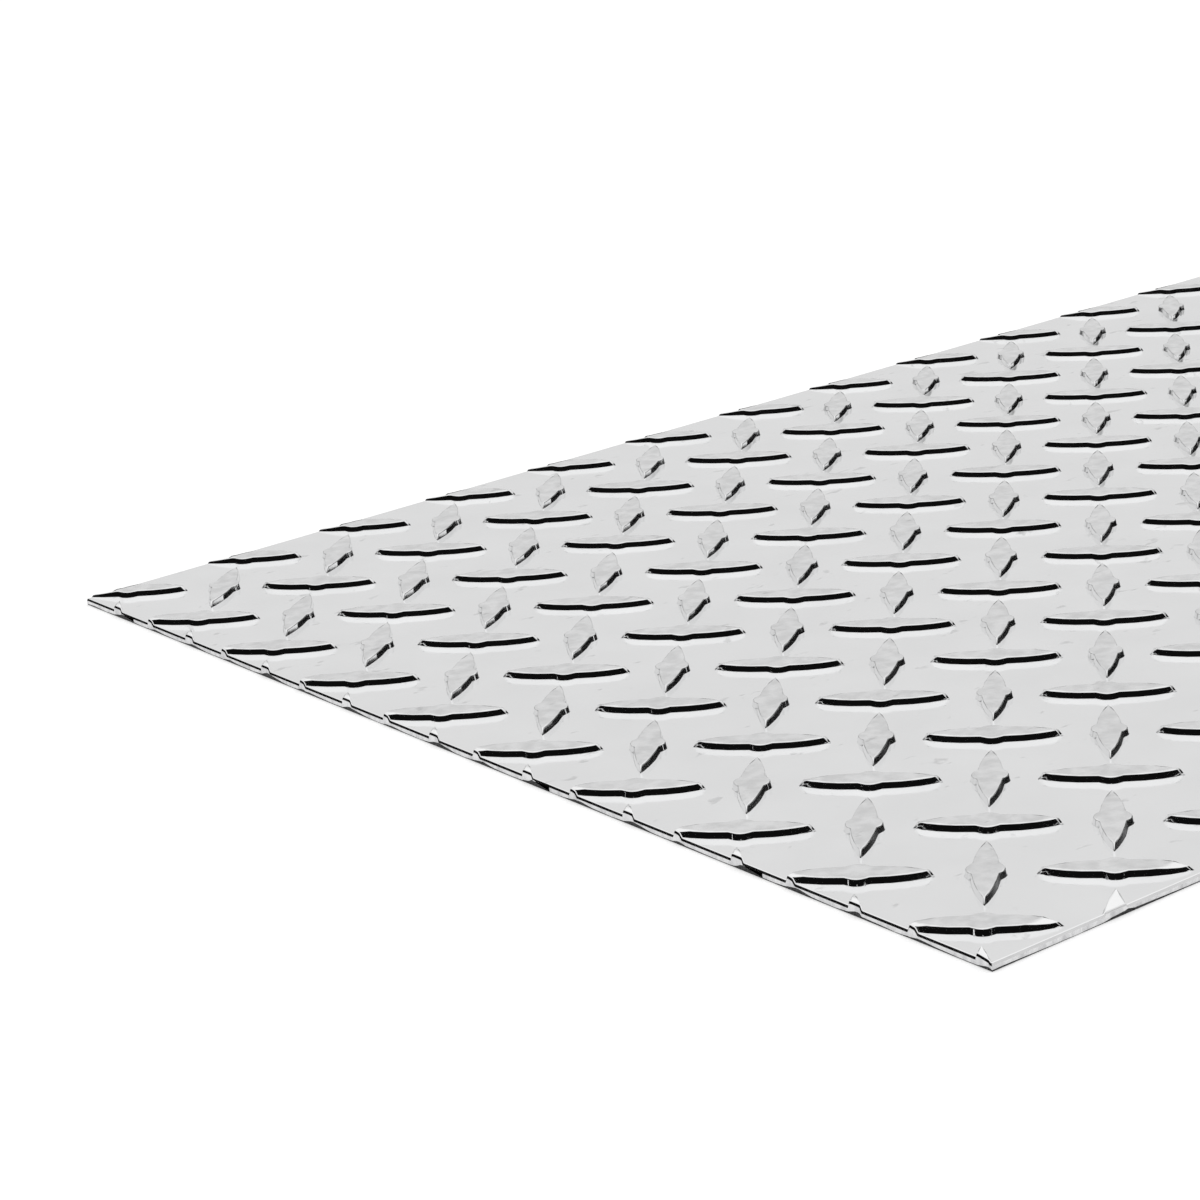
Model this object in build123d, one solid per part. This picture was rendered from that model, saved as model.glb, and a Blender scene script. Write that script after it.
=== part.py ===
from build123d import *
import os

# Aluminium tread plate: one rolled sheet with a plain underside and rows of raised lugs on top.
# The sheet lies flat with its lugs up. X runs along its length, Y across its width and Z up.
# The origin is the centre of the underside.

INCH = 25.4

# Sheet, as sheared to its sold size
sheet_length = 24 * INCH
sheet_width = 12 * INCH
sheet_thickness = 1.6

# Lug, a pointed bar with a short node standing out on both sides at mid length
lug_length = 27.5
lug_width = 5.8
lug_height = 1.45
lug_draft = 17.0
node_length = 4.2
node_tip_length = 2.4
node_width = 7.8

# Tread pattern: like lugs stand one pitch apart along both edges, and the lugs of the other
# family, turned a quarter turn, stand in the middle of each square of four
lug_pitch = 32.0
lug_angle = 45.0
# How far the first lug of the first family lies from the left end and from the back edge
first_lug_from_end = 9.0
first_lug_from_back = 5.4


def lug_outline():
    """Plan of one lug at the sheet's surface, lying along X about the origin."""
    tip = lug_length / 2
    side = lug_width / 2
    root = node_length / 2
    nose = node_tip_length / 2
    crest = node_width / 2
    near_side = [(-tip, 0), (-root, -side), (-nose, -crest), (nose, -crest), (root, -side)]
    far_side = [(-x, -y) for x, y in near_side]
    return Polygon(*near_side, *far_side, align=None)


def make_lug():
    """One lug on the sheet's top face, with a flat top and walls drafted from their foot."""
    foot = Plane.XY.offset(sheet_thickness)
    block = extrude(foot * lug_outline(), lug_height)
    walls = block.faces().filter_by(Axis.Z, reverse=True)
    return draft(walls, foot, lug_draft)


def lug_rows(first, size):
    """Centres along one direction, one pitch apart, that bring any of a lug onto the sheet."""
    reach = lug_length / 2
    start = first - lug_pitch * ((first + reach) // lug_pitch)
    count = int((size + reach - start) // lug_pitch) + 1
    return [start + lug_pitch * index for index in range(count)]


def lug_places(from_end, from_back, angle):
    """Where one family of lugs stands, each place turned to the family's angle."""
    return [
        Pos(along - sheet_length / 2, sheet_width / 2 - across) * Rot(0, 0, angle)
        for along in lug_rows(from_end, sheet_length)
        for across in lug_rows(from_back, sheet_width)
    ]


def all_lug_places():
    half = lug_pitch / 2
    first_family = lug_places(first_lug_from_end, first_lug_from_back, -lug_angle)
    second_family = lug_places(first_lug_from_end + half, first_lug_from_back + half, lug_angle)
    return first_family + second_family


def shear(lugs):
    """The lugs as the shear leaves them: whole inside the sheet's edges, cut off at them."""
    block = Box(
        sheet_length, sheet_width, sheet_thickness + lug_height,
        align=(Align.CENTER, Align.CENTER, Align.MIN),
    )
    edge_x = sheet_length / 2
    edge_y = sheet_width / 2
    kept = []
    for lug in lugs:
        box = lug.bounding_box()
        if box.min.X > -edge_x and box.max.X < edge_x and box.min.Y > -edge_y and box.max.Y < edge_y:
            kept.append(lug)
        elif box.max.X > -edge_x and box.min.X < edge_x and box.max.Y > -edge_y and box.min.Y < edge_y:
            kept += (lug & block).solids()
    return kept


def make_tread_plate():
    sheet = Box(
        sheet_length, sheet_width, sheet_thickness,
        align=(Align.CENTER, Align.CENTER, Align.MIN),
    )
    lug = make_lug()
    lugs = shear([place * lug for place in all_lug_places()])
    return sheet.fuse(*lugs)


os.makedirs("parts", exist_ok=True)
export_step(make_tread_plate(), "parts/tread_plate.step", write_pcurves=False)
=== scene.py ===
import math

import bmesh
import bpy
import numpy as np
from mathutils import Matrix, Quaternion, Vector, noise
from mathutils.geometry import delaunay_2d_cdt


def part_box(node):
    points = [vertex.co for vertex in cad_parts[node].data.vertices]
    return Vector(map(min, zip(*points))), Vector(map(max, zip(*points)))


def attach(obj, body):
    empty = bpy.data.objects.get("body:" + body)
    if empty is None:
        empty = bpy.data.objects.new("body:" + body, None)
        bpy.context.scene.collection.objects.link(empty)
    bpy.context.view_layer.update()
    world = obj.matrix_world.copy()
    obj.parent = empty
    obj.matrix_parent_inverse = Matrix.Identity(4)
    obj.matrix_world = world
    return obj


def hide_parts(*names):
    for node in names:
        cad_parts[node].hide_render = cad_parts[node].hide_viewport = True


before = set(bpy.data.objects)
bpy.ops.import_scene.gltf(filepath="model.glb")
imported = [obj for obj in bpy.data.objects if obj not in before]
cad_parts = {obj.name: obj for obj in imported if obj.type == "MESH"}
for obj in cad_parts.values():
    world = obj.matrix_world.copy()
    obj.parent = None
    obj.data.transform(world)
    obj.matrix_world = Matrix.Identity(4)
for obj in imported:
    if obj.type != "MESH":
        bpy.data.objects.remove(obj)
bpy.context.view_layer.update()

# Aluminium tread plate: a rolled sheet with rounded, noded lugs on top and sheared edges.

MM = 0.001
UP = Vector((0, 0, 1))
# Points nearer to each other than this are one point
SAME_PLACE = 1e-7

# Lug, a pointed bar with bowed sides, measured at the sheet's surface without its fillet
LUG_LENGTH = 27.4 * MM
LUG_WIDTH = 5.5 * MM
LUG_HEIGHT = 1.45 * MM
# The node at a lug's mid length: how far it stands out, and how far it reaches along the lug each way
NODE_RISE = 1.05 * MM
NODE_REACH = 2.3 * MM
# The lug's nose: its length in plan, how far its tip draws in from foot to top beyond the draft,
# and the power of the height by which it does so
NOSE_LENGTH = 1.6 * MM
NOSE_DRAW = 0.6 * MM
NOSE_ROUND = 1.6
# How much longer the nose is at the top, and the share of the lug's height from which it lengthens
POINT_LENGTH = 4 * MM
POINT_START = 0.9
# From its foot up a lug has a fillet, a drafted wall and a round shoulder to its flat top
FOOT_RADIUS = 0.12 * MM
SHOULDER_RADIUS = 0.28 * MM
SHOULDER_STEPS = 4
# Where a quarter of the lug's outline has points: distances from its middle to the end of its node,
# then shares of the way from there to its nose, then shares of its nose
NODE_STATIONS = [0, 0.8 * MM, 1.5 * MM, NODE_REACH]
SIDE_SHARES = [0.4, 0.74, 1]
NOSE_SHARES = [0.55, 1]
# How far in and out from a ring of the lug its lean is measured
LEAN_STEP = 0.01 * MM

# Tread pattern: like lugs a pitch apart, and the other family in the middle of each square of four
LUG_PITCH = 32 * MM
LUG_ANGLE = math.radians(45)
FIRST_LUG_FROM_END = 9.0 * MM
FIRST_LUG_FROM_BACK = 5.4 * MM
# Each family's shift along both edges, its angle, the draft of its lugs' walls, and how full their
# sides are: 2 bows them evenly, and more keeps their middle straighter
FAMILIES = [
    (0, -LUG_ANGLE, math.radians(16), 3.0),
    (LUG_PITCH / 2, LUG_ANGLE, math.radians(10), 2.0),
]
# How far the tread runs past the sheet's edges before it is trimmed
TREAD_MARGIN = 1.5 * LUG_LENGTH

# Sheared edges: the blade presses lugs down along the long sides and leaves them standing at the ends.
# How far in from the edge a lug is lowered, and the share of its height that is left at the edge
PRESSED = (4.6 * MM, 0.3)
STANDING = (0.9 * MM, 0.7)
# From the top down a sheared edge is rounded, sloped, burnished, then torn off
SHEAR_ROUND = 0.2 * MM
SHEAR_SLOPE = math.radians(22)
SHEAR_SLOPE_DROP = 0.42 * MM
SHEAR_INSET = SHEAR_ROUND * math.cos(SHEAR_SLOPE) + SHEAR_SLOPE_DROP * math.tan(SHEAR_SLOPE)
# The torn part: its height, how uneven that is and over what length, and how far it lies back
TEAR_HEIGHT = 0.2 * MM
TEAR_UNEVENNESS = 0.1 * MM
TEAR_GRAIN = 3 * MM
TEAR_SETBACK = 0.05 * MM
# A cut lug tears the edge higher, by its section over a length, within a reach of a place just past it
TEAR_LENGTH = 3.2 * MM
TEAR_SPREAD = 5 * MM
TEAR_SHIFT = 2.5 * MM
# The small slope between the torn part and the underside
BOTTOM_BREAK = 0.08 * MM

# The plate's material slots
ROLLED, BURNISHED, TORN = range(3)

# The part of a noise's values that most of it lies in
MOST_NOISE = (0.3, 0.7)

# Rolled face by height: where lug walls start above the sheet, and where they end and lug tops start
# below the highest point
WALL_START = (0.05 * MM, 0.15 * MM)
WALL_END = (0.3 * MM, 0.15 * MM)
TOP_START = (0.15 * MM, 0.03 * MM)
# Rolled face: its tones, and the patterns that darken it and make it more or less rough. Each has a
# scale per metre, and spreads a span of its noise to two values
ROLLED_TONES = [(0, (0, 0, 0)), (1, (0.92, 0.922, 0.925))]
CLOUDS = {"scale": 60, "detail": 4, "span": MOST_NOISE, "values": (0.96, 1)}
# Painted shade: the lug tops darkened by an uneven share, standing in for their duller reflection
TOP_PAINTED_SHADE = {"scale": 300, "detail": 4, "span": (0.35, 0.65), "values": (0.2, 0.04)}
SCUFFS = {
    "scale": 300, "detail": 3, "span": (0.67, 0.74), "values": (0, 0.2),
    "stretch": (0.5, 1, 1), "turn": LUG_ANGLE,
}
SHEEN = {"scale": 140, "detail": 3, "span": MOST_NOISE, "values": (0.08, 0.13)}
# The share of its roughness that the rolled face has off the lug walls and on them
WALL_ROUGHNESS = (1, 0.5)
# Rolled face: fine lines along the sheet, unevenness of the lug walls, and how deep each is
ROLLING_LINES = {"scale": 900, "detail": 2, "stretch": (0.08, 1, 1)}
ROLLING_DEPTH = 0.002 * MM
UNEVEN_WALLS = {"scale": 500, "detail": 3}
UNEVEN_DEPTH = 0.004 * MM

# Burnished and torn faces: each one's noise, the tones and roughness that it spreads to, and its depth
STREAKS = {"scale": 700, "detail": 4, "stretch": (1, 1, 0.15)}
BURNISHED_TONES = [(0.3, (0.5, 0.5, 0.51)), (0.6, (0.74, 0.74, 0.745))]
BURNISHED_ROUGHNESS = (0.2, 0.35)
STREAK_DEPTH = 0.01 * MM
GRAIN = {"scale": 2500, "detail": 3}
# Painted shade: the torn face's near-black tones stand for the shade in its rough surface, not the metal's
# own colour
TORN_PAINTED_SHADE_TONES = [(0.35, (0.01, 0.01, 0.01)), (0.65, (0.1, 0.1, 0.102))]
TORN_ROUGHNESS = (0.4, 0.6)
GRAIN_DEPTH = 0.05 * MM

# Floor and light
FLOOR_HALF_SIZE = 20.0
FLOOR_COLOUR = (0.9, 0.9, 0.9)
FLOOR_GLOW = 0.3
# Brightness of the studio by the sine of the angle above the horizon
DOME = [(0.0, 0.008), (0.1, 0.008), (0.15, 0.76), (0.42, 0.78), (0.65, 1.0), (1.0, 1.0)]
# Dark parts of the studio: their brightness, and each one's compass direction, half width, top and
# softness in degrees
DARK_LEVEL = 0.004
DARK_PARTS = [(221, 76, 22, 3), (315, 20, 16, 3), (96, 29, 20, 3)]

# Camera, at the photograph's viewing angle: metres, degrees, and the lens in millimetres
CAMERA_AIM = Vector((-0.2282, 0.0534, 0.0016))
CAMERA_DISTANCE = 0.7653
CAMERA_AZIMUTH = 36.2
CAMERA_ELEVATION = 18.16
CAMERA_ROLL = -4.94
CAMERA_LENS = 101.8

# Sheet, as the frame gives it
sheet_low, sheet_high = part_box("tread_plate")
sheet_top = sheet_high.z - LUG_HEIGHT


def lug_profile(draft):
    """Rings of a lug from foot to top: how far in, how high, and the normal's angle above level."""
    upright = math.pi / 2
    wall_start = FOOT_RADIUS * (1 - math.sin(draft))
    wall_end = LUG_HEIGHT - SHOULDER_RADIUS * (1 - math.sin(draft))
    rings = [
        (wall_start * math.tan(draft) - FOOT_RADIUS * math.cos(draft), 0, upright),
        (wall_start * math.tan(draft), wall_start, draft),
    ]
    centre = wall_end * math.tan(draft) + SHOULDER_RADIUS * math.cos(draft)
    for angle in np.linspace(draft, upright, SHOULDER_STEPS + 1):
        height = LUG_HEIGHT - SHOULDER_RADIUS * (1 - math.sin(angle))
        rings.append((centre - SHOULDER_RADIUS * math.cos(angle), height, angle))
    return rings


def lug_outline(inset, height, fullness):
    """Outline of a lug along X at a height, set in from its foot, counter-clockwise from its right tip."""
    half_width = LUG_WIDTH / 2
    tip = LUG_LENGTH / 2
    rise = max(height / LUG_HEIGHT, 0)
    length = NOSE_LENGTH + POINT_LENGTH * max((rise - POINT_START) / (1 - POINT_START), 0) ** 2
    nose = tip - inset - NOSE_DRAW * rise ** NOSE_ROUND - length
    side = [NODE_REACH + (nose - NODE_REACH) * share for share in SIDE_SHARES]
    end = [nose + length * share for share in NOSE_SHARES]
    along = np.array(NODE_STATIONS + side + end)
    node = NODE_RISE * (1 - np.minimum(along / NODE_REACH, 1) ** 2)
    wall = half_width * (1 - np.minimum(along / tip, 1) ** fullness) - inset + node
    across = wall * (1 - np.clip((along - nose) / length, 0, 1) ** 2)
    quarter = np.column_stack([along, across])
    far_side = np.concatenate([quarter[::-1], quarter[1:] * (-1, 1)])
    return np.concatenate([far_side, -far_side[1:-1]])


def ring_normals(inset, height, angle, fullness):
    """Unit normals round one ring of a lug, from the way its outline runs and the way it draws in."""
    outline = lug_outline(inset, height, fullness)
    rise = LEAN_STEP / math.tan(angle)
    inner = lug_outline(inset + LEAN_STEP, height + rise, fullness)
    outer = lug_outline(inset - LEAN_STEP, height - rise, fullness)
    drawn_in = (inner - outer) / (2 * LEAN_STEP)
    run = np.roll(outline, -1, axis=0) - np.roll(outline, 1, axis=0)
    run /= np.linalg.norm(run, axis=1, keepdims=True)
    lean = run[:, 0] * drawn_in[:, 1] - run[:, 1] * drawn_in[:, 0]
    outward = math.cos(angle)
    upward = math.sin(angle)
    normals = np.column_stack([run[:, 1] * outward, -run[:, 0] * outward, lean * upward])
    return normals / np.linalg.norm(normals, axis=1, keepdims=True)


def make_lug(draft, fullness):
    """Points, normals and faces of one lug on the sheet's top, and how many points each ring has."""
    points = []
    normals = []
    faces = []
    for inset, height, angle in lug_profile(draft):
        outline = lug_outline(inset, height, fullness)
        points.append(np.column_stack([outline, np.full(len(outline), sheet_top + height)]))
        normals.append(ring_normals(inset, height, angle, fullness))
    around = len(points[0])
    last = (len(points) - 1) * around
    for start in range(0, last, around):
        for index in range(around):
            after = (index + 1) % around
            faces.append((start + index, start + after, start + around + after, start + around + index))
    # The flat top, closed from side to side
    for index in range(around // 2):
        far = (last + index, last + index + 1)
        near = (last + around - 1 - index, last + (around - index) % around)
        faces.append(tuple(dict.fromkeys(far + near)))
    return np.concatenate(points), np.concatenate(normals), faces, around


def lug_rows(first, size):
    """Centres along one direction, one pitch apart, that bring any of a lug onto the sheet."""
    reach = LUG_LENGTH / 2
    start = first - LUG_PITCH * ((first + reach) // LUG_PITCH)
    count = int((size + reach - start) // LUG_PITCH) + 1
    return [start + LUG_PITCH * index for index in range(count)]


def lug_places(shift):
    """Centres of one family's lugs."""
    size = sheet_high - sheet_low
    return [
        (sheet_low.x + along, sheet_high.y - across, 0)
        for along in lug_rows(FIRST_LUG_FROM_END + shift, size.x)
        for across in lug_rows(FIRST_LUG_FROM_BACK + shift, size.y)
    ]


def place_lugs():
    """Points, normals and faces of all lugs, and each lug's foot as a range of points."""
    points = []
    normals = []
    faces = []
    feet = []
    for shift, angle, *shape in FAMILIES:
        lug_points, lug_normals, lug_faces, around = make_lug(*shape)
        turn = np.array([
            [math.cos(angle), -math.sin(angle), 0],
            [math.sin(angle), math.cos(angle), 0],
            [0, 0, 1],
        ])
        for place in lug_places(shift):
            start = len(points) * len(lug_points)
            points.append(lug_points @ turn.T + place)
            normals.append(lug_normals @ turn.T)
            faces += [tuple(start + corner for corner in face) for face in lug_faces]
            feet.append(range(start, start + around))
    return np.concatenate(points), np.concatenate(normals), faces, feet


def make_tread():
    """All lugs and the flat between them, on a sheet that runs past its edges."""
    points, normals, faces, feet = place_lugs()
    corners = [
        (x, y, sheet_top)
        for x in (sheet_low.x - TREAD_MARGIN, sheet_high.x + TREAD_MARGIN)
        for y in (sheet_low.y - TREAD_MARGIN, sheet_high.y + TREAD_MARGIN)
    ]
    ground = [index for foot in feet for index in foot]
    around = len(feet[0])
    holes = [list(range(first, first + around)) for first in range(0, len(ground), around)]
    ground += range(len(points), len(points) + len(corners))
    points = np.concatenate([points, corners])
    normals = np.concatenate([normals, np.tile(tuple(UP), (len(corners), 1))])
    places = [Vector(points[index][:2]) for index in ground]
    whole_area = 0
    _, _, triangles, origins, _, covers = delaunay_2d_cdt(places, [], holes, whole_area, SAME_PLACE)
    sources = [ground[origin[0]] for origin in origins]
    faces += [
        tuple(sources[corner] for corner in triangle)
        for triangle, cover in zip(triangles, covers)
        if not cover
    ]
    return points, normals, faces


def lower_lugs(verts, layer, edge, axis, reach, left):
    """Lowers what stands up near one edge, the more the nearer, and tilts its top to match."""
    for vert in verts:
        share = (edge - vert.co).dot(axis) / reach
        height = vert.co.z - sheet_top
        if share < 1 and height > 0:
            kept = left + (1 - left) * share
            fall = height * (1 - left) / reach
            vert[layer] += axis * fall * vert[layer].z
            vert.co.z = sheet_top + height * kept


def trim_to_sheet(points, normals, faces):
    """The tread cut off where the sheared edge starts, on all four sides, and its rim's points."""
    mesh = bpy.data.meshes.new("tread")
    mesh.from_pydata(points, [], faces)
    normal_data = mesh.attributes.new("rolled_normal", "FLOAT_VECTOR", "POINT")
    normal_data.data.foreach_set("vector", normals.astype(np.float32).ravel())
    tread = bmesh.new()
    tread.from_mesh(mesh)
    bpy.data.meshes.remove(mesh)
    layer = tread.verts.layers.float_vector["rolled_normal"]
    for corner, way in ((sheet_low, -1), (sheet_high, 1)):
        for axis, (reach, left) in ((Vector((way, 0, 0)), STANDING), (Vector((0, way, 0)), PRESSED)):
            edge = Vector(corner) - axis * SHEAR_INSET
            for inset, outer in ((reach, False), (0, True)):
                bmesh.ops.bisect_plane(
                    tread,
                    geom=tread.verts[:] + tread.edges[:] + tread.faces[:],
                    dist=SAME_PLACE,
                    plane_co=edge - axis * inset,
                    plane_no=axis,
                    clear_outer=outer,
                )
            lower_lugs(tread.verts, layer, edge, axis, reach, left)
    tread.verts.index_update()
    points = [vert.co.copy() for vert in tread.verts]
    normals = [vert[layer].normalized() for vert in tread.verts]
    faces = [tuple(vert.index for vert in face.verts) for face in tread.faces]
    rim = {vert.index for edge in tread.edges if edge.is_boundary for vert in edge.verts}
    tread.free()
    return points, normals, faces, rim


def order_rim(points, rim):
    """The rim's points in turn round the sheet, each one's way out, and that of the stretch after it."""
    near = 1e-6
    left = sheet_low.x + SHEAR_INSET
    right = sheet_high.x - SHEAR_INSET
    front = sheet_low.y + SHEAR_INSET
    back = sheet_high.y - SHEAR_INSET
    walks = [
        (1, front, 0, 1, Vector((0, -1, 0))),
        (0, right, 1, 1, Vector((1, 0, 0))),
        (1, back, 0, -1, Vector((0, 1, 0))),
        (0, left, 1, -1, Vector((-1, 0, 0))),
    ]
    order = []
    ways = []
    for fixed, place, moving, sense, way in walks:
        side = [index for index in rim if abs(points[index][fixed] - place) < near]
        side.sort(key=lambda index: sense * points[index][moving])
        order += side[:-1]
        ways += [way] * (len(side) - 1)
    outs = []
    for index, way in enumerate(ways):
        before = ways[index - 1]
        outs.append(way if way == before else way + before)
    return order, outs, ways


class Shell:
    """The plate's mesh in the making: points, faces, their material slots and their corners' normals."""

    def __init__(self, points, normals, faces):
        self.points = points
        self.faces = faces
        self.slots = [ROLLED] * len(faces)
        self.normals = [normals[corner] for face in faces for corner in face]

    def add_row(self, places):
        """Adds points, and gives their numbers."""
        start = len(self.points)
        self.points += places
        return list(range(start, len(self.points)))

    def add_face(self, corners, normals, slot):
        """Adds a face with a normal for each corner."""
        self.faces.append(corners)
        self.normals += normals
        self.slots.append(slot)


def strip_faces(upper, lower):
    """Faces between a row of points round the sheet and the row below it."""
    tops = zip(upper[1:] + upper[:1], upper)
    bottoms = zip(lower, lower[1:] + lower[:1])
    return [top + bottom for top, bottom in zip(tops, bottoms)]


def drawn_rows():
    """Rows of the edge's rounded and sloped part: way out, drop, and turn of the normal from the top's."""
    turn = math.pi / 2 - SHEAR_SLOPE
    rows = [
        (SHEAR_ROUND * math.sin(angle), SHEAR_ROUND * (1 - math.cos(angle)), angle)
        for angle in (turn / 2, turn)
    ]
    return rows + [(SHEAR_INSET, rows[-1][1] + SHEAR_SLOPE_DROP, turn)]


def add_drawn_edge(shell, order, outs, ways):
    """Adds the sheared edge's rounded and sloped part, and gives its lowest row."""
    upper = order
    upper_turn = 0.0
    for out, drop, turn in drawn_rows():
        lower = shell.add_row([shell.points[top] + way * out - UP * drop for top, way in zip(order, outs)])
        angles = (upper_turn, upper_turn, turn, turn)
        for face, way in zip(strip_faces(upper, lower), ways):
            normals = [UP * math.cos(angle) + way * math.sin(angle) for angle in angles]
            shell.add_face(face, normals, ROLLED)
        upper = lower
        upper_turn = turn
    return upper


def tear_heights(places, ways):
    """Height of the torn part round the sheet: uneven, and more just past each cut lug, by its section."""
    places = np.array(places)
    before = places - TEAR_SHIFT * np.array([UP.cross(way) for way in ways])
    apart = np.linalg.norm(before[:, None, :2] - places[None, :, :2], axis=2)
    rise = np.maximum(places[:, 2] - sheet_top, 0)
    spacing = np.linalg.norm(places[:, :2] - np.roll(places[:, :2], 1, axis=0), axis=1)
    section = (rise * spacing * np.clip(1 - apart / TEAR_SPREAD, 0, 1)).sum(axis=1)
    uneven = np.array([noise.noise(Vector(place) / TEAR_GRAIN) for place in places])
    return TEAR_HEIGHT + TEAR_UNEVENNESS * uneven + section / TEAR_LENGTH * (1 + uneven)


def add_cut_edge(shell, order, outs, ways, upper):
    """Adds the sheared edge's burnished and torn part, and gives its lowest row."""
    tear = tear_heights([shell.points[top] for top in order], ways)
    walls = [
        (SHEAR_INSET, tear, BURNISHED),
        (SHEAR_INSET - TEAR_SETBACK, tear - TEAR_SETBACK, TORN),
        (SHEAR_INSET - TEAR_SETBACK, np.full(len(order), BOTTOM_BREAK), TORN),
        (SHEAR_INSET - TEAR_SETBACK - BOTTOM_BREAK, np.zeros(len(order)), TORN),
    ]
    for out, heights, slot in walls:
        places = [shell.points[top] + way * out for top, way in zip(order, outs)]
        for place, height in zip(places, heights):
            place.z = height
        lower = shell.add_row(places)
        for face in strip_faces(upper, lower):
            after, top, bottom, _ = (shell.points[corner] for corner in face)
            normal = (bottom - top).cross(after - top).normalized()
            shell.add_face(face, [normal] * len(face), slot)
        upper = lower
    return upper


def make_sheet():
    """The whole plate as one closed mesh, with its own normals."""
    points, normals, faces, rim = trim_to_sheet(*make_tread())
    order, outs, ways = order_rim(points, rim)
    shell = Shell(points, normals, faces)
    drawn = add_drawn_edge(shell, order, outs, ways)
    bottom = add_cut_edge(shell, order, outs, ways, drawn)
    shell.add_face(tuple(reversed(bottom)), [-UP] * len(bottom), ROLLED)
    mesh = bpy.data.meshes.new("tread_sheet")
    mesh.from_pydata(shell.points, [], shell.faces)
    for material in (rolled_aluminium(), burnished_aluminium(), torn_aluminium_painted_shade()):
        mesh.materials.append(material)
    mesh.polygons.foreach_set("material_index", shell.slots)
    mesh.polygons.foreach_set("use_smooth", np.ones(len(shell.faces), bool))
    mesh.normals_split_custom_set(shell.normals)
    sheet = bpy.data.objects.new("tread_sheet", mesh)
    bpy.context.scene.collection.objects.link(sheet)
    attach(sheet, "root")
    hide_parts("tread_plate")


def start_material(name):
    """A new material with its node tree and its shader."""
    material = bpy.data.materials.new(name)
    material.use_nodes = True
    tree = material.node_tree
    return material, tree, tree.nodes["Principled BSDF"]


def add_noise(tree, scale, detail, stretch=(1, 1, 1), turn=0.0):
    """Noise in the object's own coordinates, with features about 1 / scale metres wide."""
    place = tree.nodes.new("ShaderNodeTexCoord")
    mapping = tree.nodes.new("ShaderNodeMapping")
    mapping.inputs["Scale"].default_value = stretch
    mapping.inputs["Rotation"].default_value = (0, 0, turn)
    texture = tree.nodes.new("ShaderNodeTexNoise")
    texture.inputs["Scale"].default_value = scale
    texture.inputs["Detail"].default_value = detail
    tree.links.new(place.outputs["Object"], mapping.inputs["Vector"])
    tree.links.new(mapping.outputs["Vector"], texture.inputs["Vector"])
    return texture.outputs["Fac"]


def add_range(tree, value, span, values):
    """A span of a value spread to two other values."""
    spread = tree.nodes.new("ShaderNodeMapRange")
    for ends, pair in (("From", span), ("To", values)):
        spread.inputs[ends + " Min"].default_value = pair[0]
        spread.inputs[ends + " Max"].default_value = pair[1]
    tree.links.new(value, spread.inputs["Value"])
    return spread.outputs["Result"]


def add_pattern(tree, span, values, **pattern):
    """A noise with a span of it spread to two values."""
    return add_range(tree, add_noise(tree, **pattern), span, values)


def add_math(tree, operation, first, second):
    """Two values put together."""
    node = tree.nodes.new("ShaderNodeMath")
    node.operation = operation
    tree.links.new(first, node.inputs[0])
    tree.links.new(second, node.inputs[1])
    return node.outputs[0]


def add_ramp(tree, value, stops):
    """A colour ramp over a value, from (place, colour) stops."""
    ramp = tree.nodes.new("ShaderNodeValToRGB")
    elements = ramp.color_ramp.elements
    while len(elements) < len(stops):
        elements.new(1.0)
    for element, (place, colour) in zip(elements, stops):
        element.position = place
        element.color = (*colour, 1)
    tree.links.new(value, ramp.inputs["Fac"])
    return ramp.outputs["Color"]


def add_bump(tree, height, distance, normal=None):
    """A bump of a height value, over another bump where one is given."""
    bump = tree.nodes.new("ShaderNodeBump")
    bump.inputs["Distance"].default_value = distance
    tree.links.new(height, bump.inputs["Height"])
    if normal is not None:
        tree.links.new(normal, bump.inputs["Normal"])
    return bump.outputs["Normal"]


def add_height(tree):
    """Height above the plate's underside."""
    place = tree.nodes.new("ShaderNodeTexCoord")
    split = tree.nodes.new("ShaderNodeSeparateXYZ")
    tree.links.new(place.outputs["Object"], split.inputs["Vector"])
    return split.outputs["Z"]


def rolled_aluminium():
    """Bright rolled face with a cloudy tone, sparse scuffs, lug tops darkened unevenly as painted shade,
    and smooth, uneven lug walls.
    """
    material, tree, shader = start_material("rolled_aluminium")
    shader.inputs["Metallic"].default_value = 1
    height = add_height(tree)
    above_foot = add_range(tree, height, [sheet_top + rise for rise in WALL_START], (0, 1))
    below_top = add_range(tree, height, [sheet_high.z - drop for drop in WALL_END], (1, 0))
    on_wall = add_math(tree, "MULTIPLY", above_foot, below_top)
    on_top = add_range(tree, height, [sheet_high.z - drop for drop in TOP_START], (0, 1))
    # Painted shade darkens the lug tops, and the scuffs darken the whole face
    painted_top_shade = add_math(tree, "MULTIPLY", on_top, add_pattern(tree, **TOP_PAINTED_SHADE))
    scuffs_and_top_shade = add_math(tree, "ADD", painted_top_shade, add_pattern(tree, **SCUFFS))
    free_of_scuffs_and_top_shade = add_range(tree, scuffs_and_top_shade, (0, 1), (1, 0))
    tone = add_math(tree, "MULTIPLY", add_pattern(tree, **CLOUDS), free_of_scuffs_and_top_shade)
    tree.links.new(add_ramp(tree, tone, ROLLED_TONES), shader.inputs["Base Color"])
    smoothing = add_range(tree, on_wall, (0, 1), WALL_ROUGHNESS)
    roughness = add_math(tree, "MULTIPLY", add_pattern(tree, **SHEEN), smoothing)
    tree.links.new(roughness, shader.inputs["Roughness"])
    lines = add_bump(tree, add_noise(tree, **ROLLING_LINES), ROLLING_DEPTH)
    uneven = add_math(tree, "MULTIPLY", add_noise(tree, **UNEVEN_WALLS), on_wall)
    tree.links.new(add_bump(tree, uneven, UNEVEN_DEPTH, lines), shader.inputs["Normal"])
    return material


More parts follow.
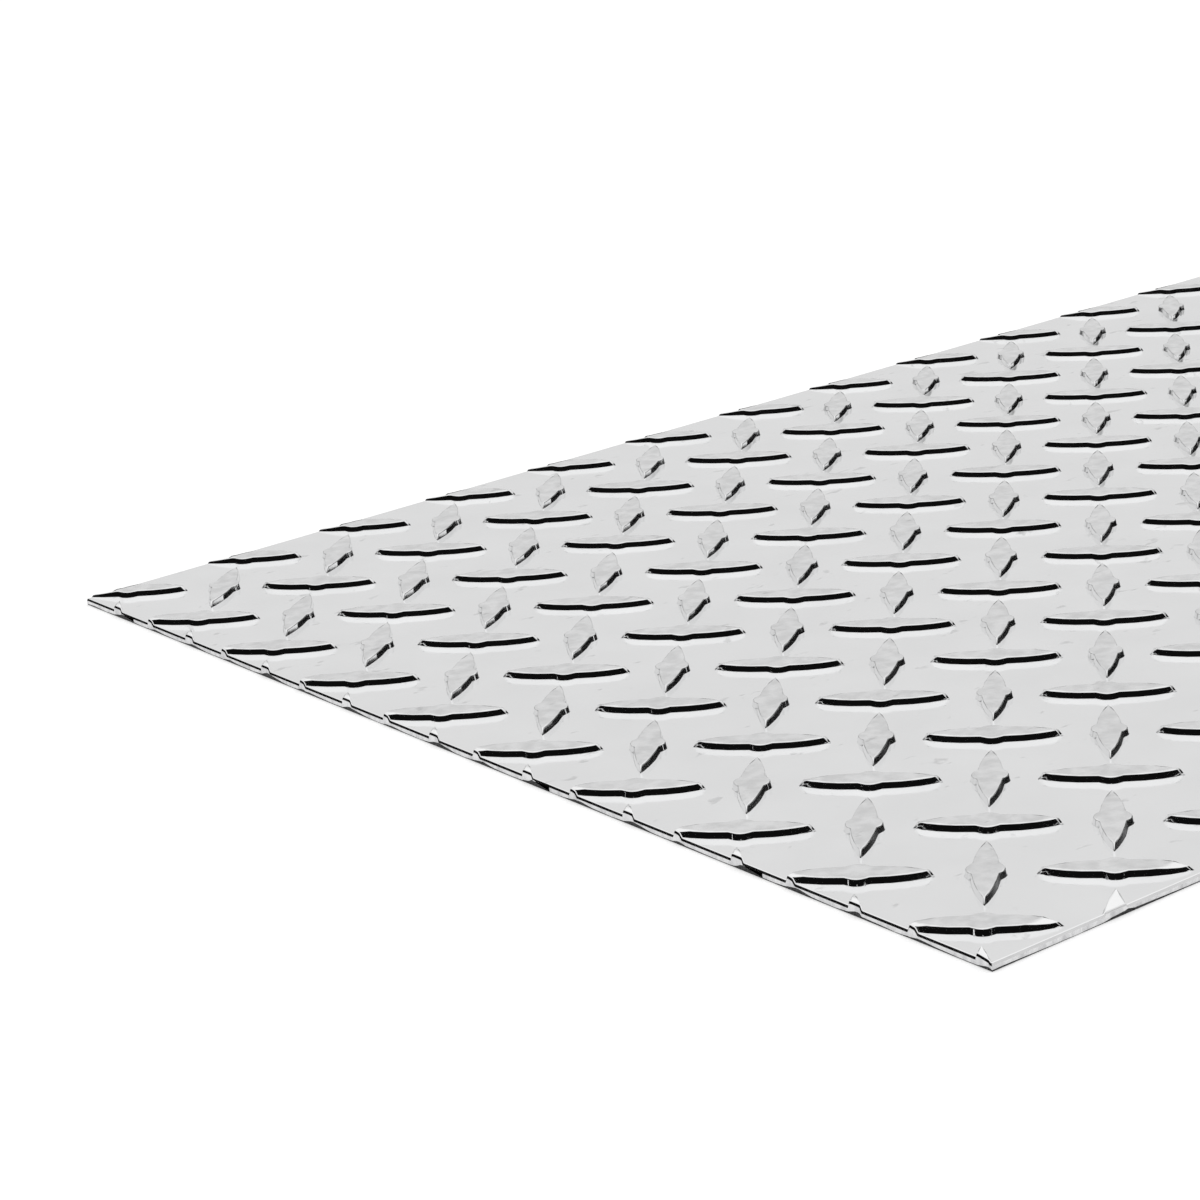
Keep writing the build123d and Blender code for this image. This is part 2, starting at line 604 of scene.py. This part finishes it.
def cut_aluminium(name, pattern, tones, roughness, depth):
    """A cut face whose tone, roughness and relief follow one noise."""
    material, tree, shader = start_material(name)
    shader.inputs["Metallic"].default_value = 1
    relief = add_noise(tree, **pattern)
    tree.links.new(add_ramp(tree, relief, tones), shader.inputs["Base Color"])
    tree.links.new(add_range(tree, relief, MOST_NOISE, roughness), shader.inputs["Roughness"])
    tree.links.new(add_bump(tree, relief, depth), shader.inputs["Normal"])
    return material


def burnished_aluminium():
    """Sheared face: fairly bright, with fine streaks down the sheet's thickness."""
    return cut_aluminium(
        "burnished_aluminium", STREAKS, BURNISHED_TONES, BURNISHED_ROUGHNESS, STREAK_DEPTH)


def torn_aluminium_painted_shade():
    """Torn face below the burnish: dull and grainy, with near-black tones that are painted shade of its
    rough torn surface.
    """
    return cut_aluminium("torn_aluminium_painted_shade", GRAIN, TORN_PAINTED_SHADE_TONES, TORN_ROUGHNESS, GRAIN_DEPTH)


def make_floor():
    """A plain pale floor that glows a little for the camera and in reflections, and keeps the shadow."""
    mesh = bpy.data.meshes.new("floor")
    corners = [(x, y, 0) for x, y in ((-1, -1), (1, -1), (1, 1), (-1, 1))]
    mesh.from_pydata([Vector(corner) * FLOOR_HALF_SIZE for corner in corners], [], [(0, 1, 2, 3)])
    floor = bpy.data.objects.new("floor", mesh)
    bpy.context.scene.collection.objects.link(floor)
    material, tree, shader = start_material("pale_floor")
    shader.inputs["Base Color"].default_value = (*FLOOR_COLOUR, 1)
    shader.inputs["Roughness"].default_value = 1
    shader.inputs["Specular IOR Level"].default_value = 0
    shader.inputs["Emission Color"].default_value = (1, 1, 1, 1)
    path = tree.nodes.new("ShaderNodeLightPath")
    seen = path.outputs["Is Camera Ray"]
    for kind in ("Is Glossy Ray", "Is Transmission Ray"):
        seen = add_math(tree, "MAXIMUM", seen, path.outputs[kind])
    tree.links.new(add_range(tree, seen, (0, 1), (0, FLOOR_GLOW)), shader.inputs["Emission Strength"])
    mesh.materials.append(material)


def compass(azimuth, elevation):
    """Unit direction at a compass angle from +Y towards +X and a height above the horizon, in degrees."""
    turn = math.radians(azimuth)
    rise = math.radians(elevation)
    return (math.sin(turn) * math.cos(rise), math.cos(turn) * math.cos(rise), math.sin(rise))


def add_vector(tree, operation, first, second=None):
    """A vector turned into another, or into a value, by a second vector that is the same everywhere."""
    node = tree.nodes.new("ShaderNodeVectorMath")
    node.operation = operation
    tree.links.new(first, node.inputs[0])
    if second is not None:
        node.inputs[1].default_value = second
    return node.outputs["Value" if operation == "DOT_PRODUCT" else "Vector"]


def add_soft_step(tree, value, middle, softness, function):
    """1 where an angle is under a middle and 0 over it, softly, from the angle's sine or cosine."""
    inner = function(math.radians(middle - softness))
    outer = function(math.radians(middle + softness))
    return add_range(tree, value, (inner, outer), (1, 0))


def make_studio():
    """Soft light from all round and overhead, with a dark horizon and dark low parts of the room."""
    world = bpy.data.worlds.new("studio")
    world.use_nodes = True
    bpy.context.scene.world = world
    tree = world.node_tree
    direction = tree.nodes.new("ShaderNodeTexCoord").outputs["Generated"]
    rise = add_vector(tree, "DOT_PRODUCT", direction, (0, 0, 1))
    level = add_vector(tree, "NORMALIZE", add_vector(tree, "MULTIPLY", direction, (1, 1, 0)))
    light = add_ramp(tree, rise, [(at, (bright,) * 3) for at, bright in DOME])
    for azimuth, half_width, top, softness in DARK_PARTS:
        facing = add_vector(tree, "DOT_PRODUCT", level, compass(azimuth, 0))
        across = add_soft_step(tree, facing, half_width, softness, math.cos)
        below = add_soft_step(tree, rise, top, softness, math.sin)
        mix = tree.nodes.new("ShaderNodeMix")
        mix.data_type = "RGBA"
        mix.inputs["B"].default_value = (DARK_LEVEL, DARK_LEVEL, DARK_LEVEL, 1)
        tree.links.new(add_math(tree, "MULTIPLY", across, below), mix.inputs["Factor"])
        tree.links.new(light, mix.inputs["A"])
        light = mix.outputs["Result"]
    tree.links.new(light, tree.nodes["Background"].inputs["Color"])


def make_camera():
    """A camera with the photograph's viewing angle."""
    data = bpy.data.cameras.new("camera")
    data.lens = CAMERA_LENS
    camera = bpy.data.objects.new("camera", data)
    bpy.context.scene.collection.objects.link(camera)
    look = Vector(compass(CAMERA_AZIMUTH, -CAMERA_ELEVATION))
    roll = Quaternion((0, 0, 1), math.radians(CAMERA_ROLL))
    camera.location = CAMERA_AIM - look * CAMERA_DISTANCE
    camera.rotation_mode = "QUATERNION"
    camera.rotation_quaternion = look.to_track_quat("-Z", "Y") @ roll
    bpy.context.scene.camera = camera


make_sheet()
make_floor()
make_studio()
make_camera()
bpy.context.scene.view_settings.view_transform = "Standard"
